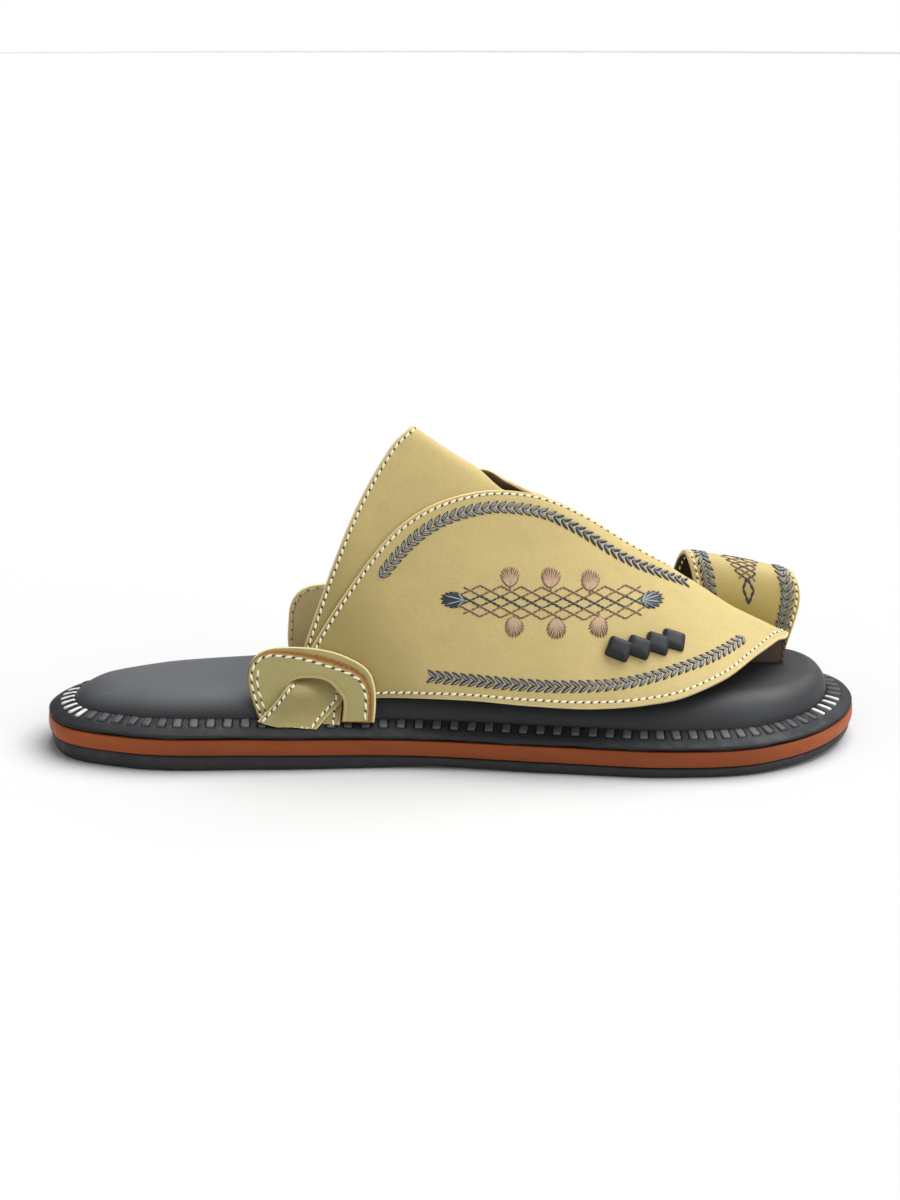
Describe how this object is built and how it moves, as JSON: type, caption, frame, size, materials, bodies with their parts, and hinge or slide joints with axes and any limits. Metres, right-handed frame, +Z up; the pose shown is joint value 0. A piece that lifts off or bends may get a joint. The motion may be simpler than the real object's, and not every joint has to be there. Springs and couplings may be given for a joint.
{
  "type": "arabic sandal",
  "caption": "Right-foot open sandal with a padded slate footbed on a layered sole, a leaf-shaped embroidered flap over an instep strap, keeper ears and a wide toe loop.",
  "frame": {"origin": "middle of the sole's bounding box, on the floor plane under heel and forefoot", "axes": "+X from heel to toe, +Y towards the inner (big toe) side, +Z up"},
  "size_m": [0.2874, 0.0948, 0.1134],
  "materials": {
    "outsole_rubber": "matte black rubber",
    "midsole_band": "smooth orange-brown leather, low sheen",
    "footbed_slate": "matte slate leather over padding",
    "khaki_nubuck": "khaki-tan nubuck, matte",
    "olive_khaki_leather": "olive-khaki nubuck, matte",
    "stud_slate": "soft satin slate"
  },
  "bodies": {
    "root": {"outsole": "outsole_rubber", "midsole": "midsole_band", "insole": "footbed_slate", "upper": "khaki_nubuck", "toe_loop": "khaki_nubuck", "lateral_ear": "olive_khaki_leather", "medial_ear": "olive_khaki_leather", "stud_1": "stud_slate", "stud_2": "stud_slate", "stud_3": "stud_slate", "stud_4": "stud_slate"}
  },
  "joints": []
}
